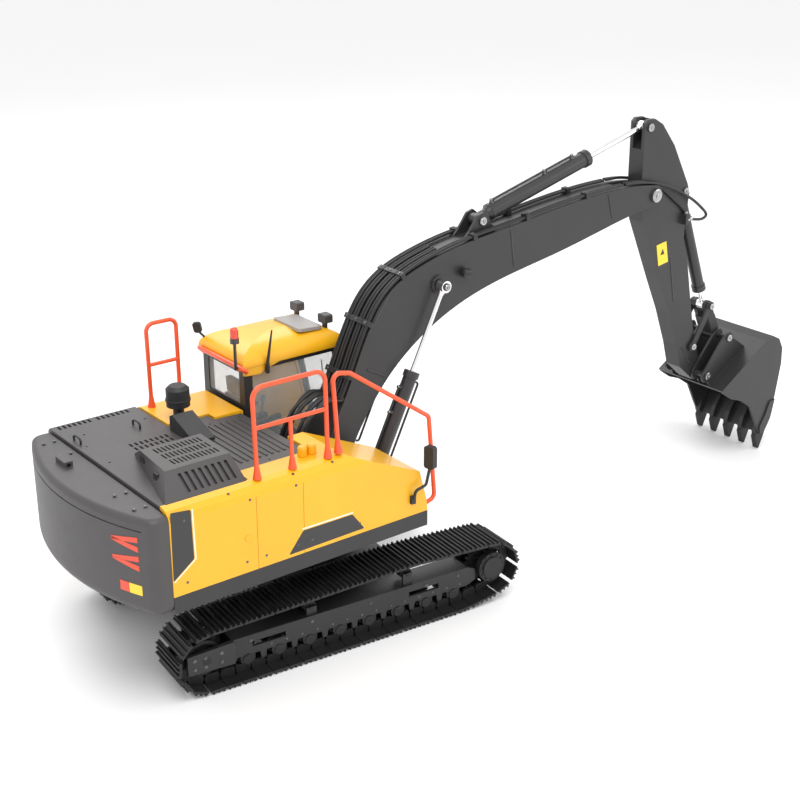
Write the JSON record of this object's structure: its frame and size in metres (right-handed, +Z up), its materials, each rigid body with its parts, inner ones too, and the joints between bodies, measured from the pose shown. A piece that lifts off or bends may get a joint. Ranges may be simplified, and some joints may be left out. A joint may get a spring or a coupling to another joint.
{
  "type": "radio controlled excavator",
  "caption": "Tracked excavator model with a turning upper structure, cab, rails, folding boom, arm and toothed bucket worked by hydraulic rams.",
  "frame": {"origin": "centre of the bounding box on the ground plane under the tracks", "axes": "+X from the counterweight towards the bucket, +Y towards the cab side, +Z up; the upper structure stands 5.67 degrees left of straight over the tracks"},
  "size_m": [0.708, 0.2095, 0.3252],
  "materials": {
    "black_paint": "satin black paint",
    "black_steel": "blackened steel, dull",
    "bright_steel": "machined steel",
    "chrome": "hard chrome",
    "yellow": "satin yellow paint",
    "grey": "satin dark grey paint",
    "grey_plastic": "satin dark grey",
    "weight_grey": "painted dark grey",
    "red_rail": "gloss orange-red paint",
    "black_plastic": "matt black",
    "grey_roof": "satin grey",
    "hose": "matt black hose",
    "glass": "clear tint",
    "red_lens": "clear red",
    "green": "circuit board",
    "blue": "shrink wrap"
  },
  "bodies": {
    "undercarriage": {"car_body": "black_paint", "slew_ring_gear": "bright_steel", "track_frame_left": "black_paint", "track_frame_right": "black_paint", "track_links_left": "black_steel", "track_links_right": "black_steel", "track_shoes_left": "black_steel", "track_shoes_right": "black_steel", "lower_rollers": "black_steel", "carrier_rollers": "black_steel", "final_drives": "black_paint"},
    "sprocket_l": {"sprocket_left": "black_steel"},
    "sprocket_r": {"sprocket_right": "black_steel"},
    "idler_l": {"idler_left": "black_steel"},
    "idler_r": {"idler_right": "black_steel"},
    "upper": {"turntable_frame": "grey", "swing_motor": "bright_steel", "battery_pack": "blue", "control_board": "green", "body_panel_right": "yellow", "body_panel_left": "yellow", "engine_hood": "grey_plastic", "hood_scoop": "grey_plastic", "counterweight": "weight_grey", "exhaust_outlet": "black_plastic", "air_precleaner": "black_plastic", "cab_frame": "yellow", "cab_roof": "yellow", "cab_glass": "glass", "roof_hatch": "grey_roof", "operator_seat": "black_plastic", "cab_controls": "black_plastic", "right_handrail": "red_rail", "front_handrail": "red_rail", "left_handrail": "red_rail", "cab_rear_rail": "black_paint", "beacon": "red_lens", "antenna": "black_plastic", "mirrors": "black_plastic", "filler_caps": "yellow", "work_lamps": "grey_plastic", "foot_hoses": "hose"},
    "pinion": {"swing_pinion": "bright_steel"},
    "door": {"cab_door": "yellow"},
    "boom": {"boom": "grey", "boom_lines": "hose", "tip_hoses": "hose"},
    "boom_rod_l": {"boom_rod_left": "chrome"},
    "boom_rod_r": {"boom_rod_right": "chrome"},
    "boom_barrel_l": {"boom_barrel_left": "grey"},
    "boom_barrel_r": {"boom_barrel_right": "grey"},
    "arm": {"arm": "grey"},
    "arm_ram_rod": {"arm_rod": "chrome"},
    "arm_ram_barrel": {"arm_barrel": "grey"},
    "bucket_ram_rod": {"bucket_rod": "chrome"},
    "bucket_ram_barrel": {"bucket_barrel": "grey"},
    "rocker": {"rocker_links": "grey"},
    "link": {"h_link": "grey"},
    "bucket": {"bucket": "grey", "bucket_teeth": "black_steel"}
  },
  "joints": [
    {"name": "swing", "type": "hinge", "parent": "undercarriage", "child": "upper", "pos_m": [-0.1655, 0, 0.057], "axis": [0, 0, 1], "continuous": true},
    {"name": "pinion_spin", "type": "hinge", "parent": "upper", "child": "pinion", "pos_m": [-0.2035, 0, 0.07], "axis": [0, 0, 1], "continuous": true},
    {"name": "sprocket_left_spin", "type": "hinge", "parent": "undercarriage", "child": "sprocket_l", "pos_m": [-0.0419, 0.06064, 0.0283], "axis": [0.0988, 0.9951, 0], "continuous": true},
    {"name": "idler_left_spin", "type": "hinge", "parent": "undercarriage", "child": "idler_l", "pos_m": [-0.27675, 0.08395, 0.0243], "axis": [0.0988, 0.9951, 0], "continuous": true},
    {"name": "sprocket_right_spin", "type": "hinge", "parent": "undercarriage", "child": "sprocket_r", "pos_m": [-0.05624, -0.08375, 0.0283], "axis": [0.0988, 0.9951, 0], "continuous": true},
    {"name": "idler_right_spin", "type": "hinge", "parent": "undercarriage", "child": "idler_r", "pos_m": [-0.29109, -0.06044, 0.0243], "axis": [0.0988, 0.9951, 0], "continuous": true},
    {"name": "cab_door_swing", "type": "hinge", "parent": "upper", "child": "door", "pos_m": [-0.1507, 0.0867, 0.13], "axis": [0, 0, 1], "range_deg": [0, 115]},
    {"name": "boom_lift", "type": "hinge", "parent": "upper", "child": "boom", "pos_m": [-0.1455, 0, 0.104], "axis": [0, -1, 0], "range_deg": [-45, 12], "deforming": ["foot_hoses"]},
    {"name": "boom_rod_left_turn", "type": "hinge", "parent": "boom", "child": "boom_rod_l", "pos_m": [-0.0441, 0.0205, 0.2284], "axis": [0, -1, 0], "range_deg": [-3.59, 1.69]},
    {"name": "boom_rod_right_turn", "type": "hinge", "parent": "boom", "child": "boom_rod_r", "pos_m": [-0.0441, -0.0205, 0.2284], "axis": [0, -1, 0], "range_deg": [-3.59, 1.69]},
    {"name": "boom_ram_left_stroke", "type": "slide", "parent": "boom_rod_l", "child": "boom_barrel_l", "axis": [-0.4381, 0, -0.8989], "range_m": [-0.02729, 0.00772]},
    {"name": "boom_ram_right_stroke", "type": "slide", "parent": "boom_rod_r", "child": "boom_barrel_r", "axis": [-0.4381, 0, -0.8989], "range_m": [-0.02729, 0.00772]},
    {"name": "arm_swing", "type": "hinge", "parent": "boom", "child": "arm", "pos_m": [0.191, 0, 0.2619], "axis": [0, -1, 0], "range_deg": [-8, 50], "deforming": ["tip_hoses"]},
    {"name": "arm_rod_turn", "type": "hinge", "parent": "arm", "child": "arm_ram_rod", "pos_m": [0.186, 0, 0.3185], "axis": [0, -1, 0], "range_deg": [-54.17, 9.51]},
    {"name": "arm_ram_stroke", "type": "slide", "parent": "arm_ram_rod", "child": "arm_ram_barrel", "axis": [-0.9634, 0, -0.2681], "range_m": [-0.04665, 0.00797]},
    {"name": "bucket_curl", "type": "hinge", "parent": "arm", "child": "bucket", "pos_m": [0.2676, 0, 0.0848], "axis": [0, -1, 0], "range_deg": [-65, 15]},
    {"name": "rocker_turn", "type": "hinge", "parent": "arm", "child": "rocker", "pos_m": [0.259, 0, 0.1116], "axis": [0, -1, 0], "range_deg": [-68.76, 16.64]},
    {"name": "link_turn", "type": "hinge", "parent": "rocker", "child": "link", "pos_m": [0.2794, 0, 0.1458], "axis": [0, -1, 0], "range_deg": [-14.26, 58.46]},
    {"name": "bucket_rod_turn", "type": "hinge", "parent": "rocker", "child": "bucket_ram_rod", "pos_m": [0.2794, 0, 0.1458], "axis": [0, -1, 0], "range_deg": [-17.34, 71.8]},
    {"name": "bucket_ram_stroke", "type": "slide", "parent": "bucket_ram_rod", "child": "bucket_ram_barrel", "axis": [-0.3644, 0, 0.9313], "range_m": [-0.01001, 0.04137]}
  ],
  "couplings": [
    {"joint": "pinion_spin", "follows": "swing", "ratio": 5.3333},
    {"joint": "sprocket_left_spin", "follows": "idler_left_spin", "ratio": 1.0588},
    {"joint": "sprocket_right_spin", "follows": "idler_right_spin", "ratio": 1.0588},
    {"joint": "boom_rod_left_turn", "follows": "boom_lift", "ratio": 0.0575},
    {"joint": "boom_rod_right_turn", "follows": "boom_lift", "ratio": 0.0575},
    {"joint": "boom_ram_left_stroke", "follows": "boom_lift", "m_per_rad": 0.033982},
    {"joint": "boom_ram_right_stroke", "follows": "boom_lift", "m_per_rad": 0.033982},
    {"joint": "arm_rod_turn", "follows": "arm_swing", "ratio": -1.0635},
    {"joint": "arm_ram_stroke", "follows": "arm_swing", "m_per_rad": -0.052771},
    {"joint": "rocker_turn", "follows": "bucket_curl", "ratio": 1.0425},
    {"joint": "link_turn", "follows": "bucket_curl", "ratio": -0.884},
    {"joint": "bucket_rod_turn", "follows": "bucket_curl", "ratio": -1.0892},
    {"joint": "bucket_ram_stroke", "follows": "bucket_curl", "m_per_rad": -0.035938}
  ]
}
